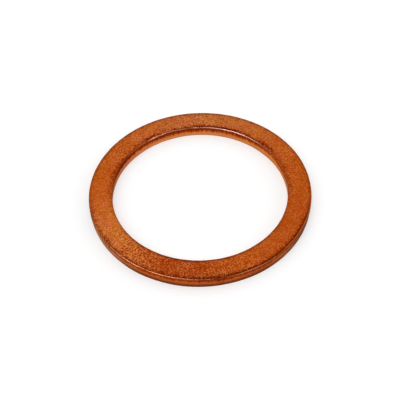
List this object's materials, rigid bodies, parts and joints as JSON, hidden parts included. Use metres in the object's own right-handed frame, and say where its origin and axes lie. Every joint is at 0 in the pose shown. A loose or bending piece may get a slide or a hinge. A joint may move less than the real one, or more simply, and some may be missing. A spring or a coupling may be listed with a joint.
{
  "type": "flat copper sealing ring",
  "caption": "Flat annealed copper ring that is crushed between a drain plug's collar and its housing to seal the thread.",
  "frame": {"origin": "centre of the bottom sealing face, on the axis of the bore, in the plane that the ring lies on", "axes": "+Z along the bore, from the burr side up to the rolled side; X and Y are any two radii, because the ring is a body of revolution"},
  "size_m": [0.0258, 0.0258, 0.0015],
  "materials": {
    "copper": "satin, tumbled soft copper with fine mottling and a brighter rounded edge"
  },
  "bodies": {
    "root": {"sealing_ring": "copper"}
  },
  "joints": []
}
